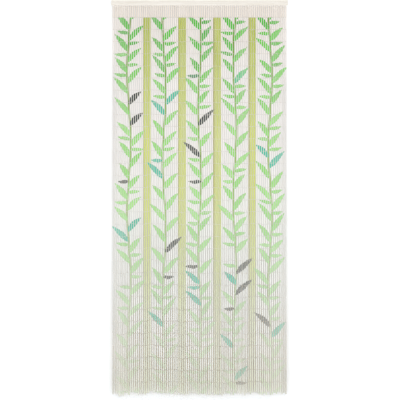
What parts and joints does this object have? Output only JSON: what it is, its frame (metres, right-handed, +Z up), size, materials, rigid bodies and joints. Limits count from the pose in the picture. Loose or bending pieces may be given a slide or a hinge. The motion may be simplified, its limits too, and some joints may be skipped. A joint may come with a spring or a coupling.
{
  "type": "bamboo bead door curtain with batten",
  "caption": "Door curtain of hanging strands of short bamboo tubes linked by wire, under a straight wooden batten, with a leafy print in greens.",
  "frame": {"origin": "middle of the batten's top face, which goes up against the head of a door frame", "axes": "+X along the batten, -Y towards the printed side, +Z up; the strands hang down along -Z"},
  "size_m": [0.9, 0.014, 2.0241],
  "materials": {
    "batten_wood": "pale wood, thin matt wash",
    "painted_bamboo": "bamboo tubes with a thin off-white ground and a leafy print, satin",
    "link_wire": "thin dull steel wire"
  },
  "bodies": {
    "root": {"batten": "batten_wood", "strand_curtain": "painted_bamboo"}
  },
  "joints": []
}
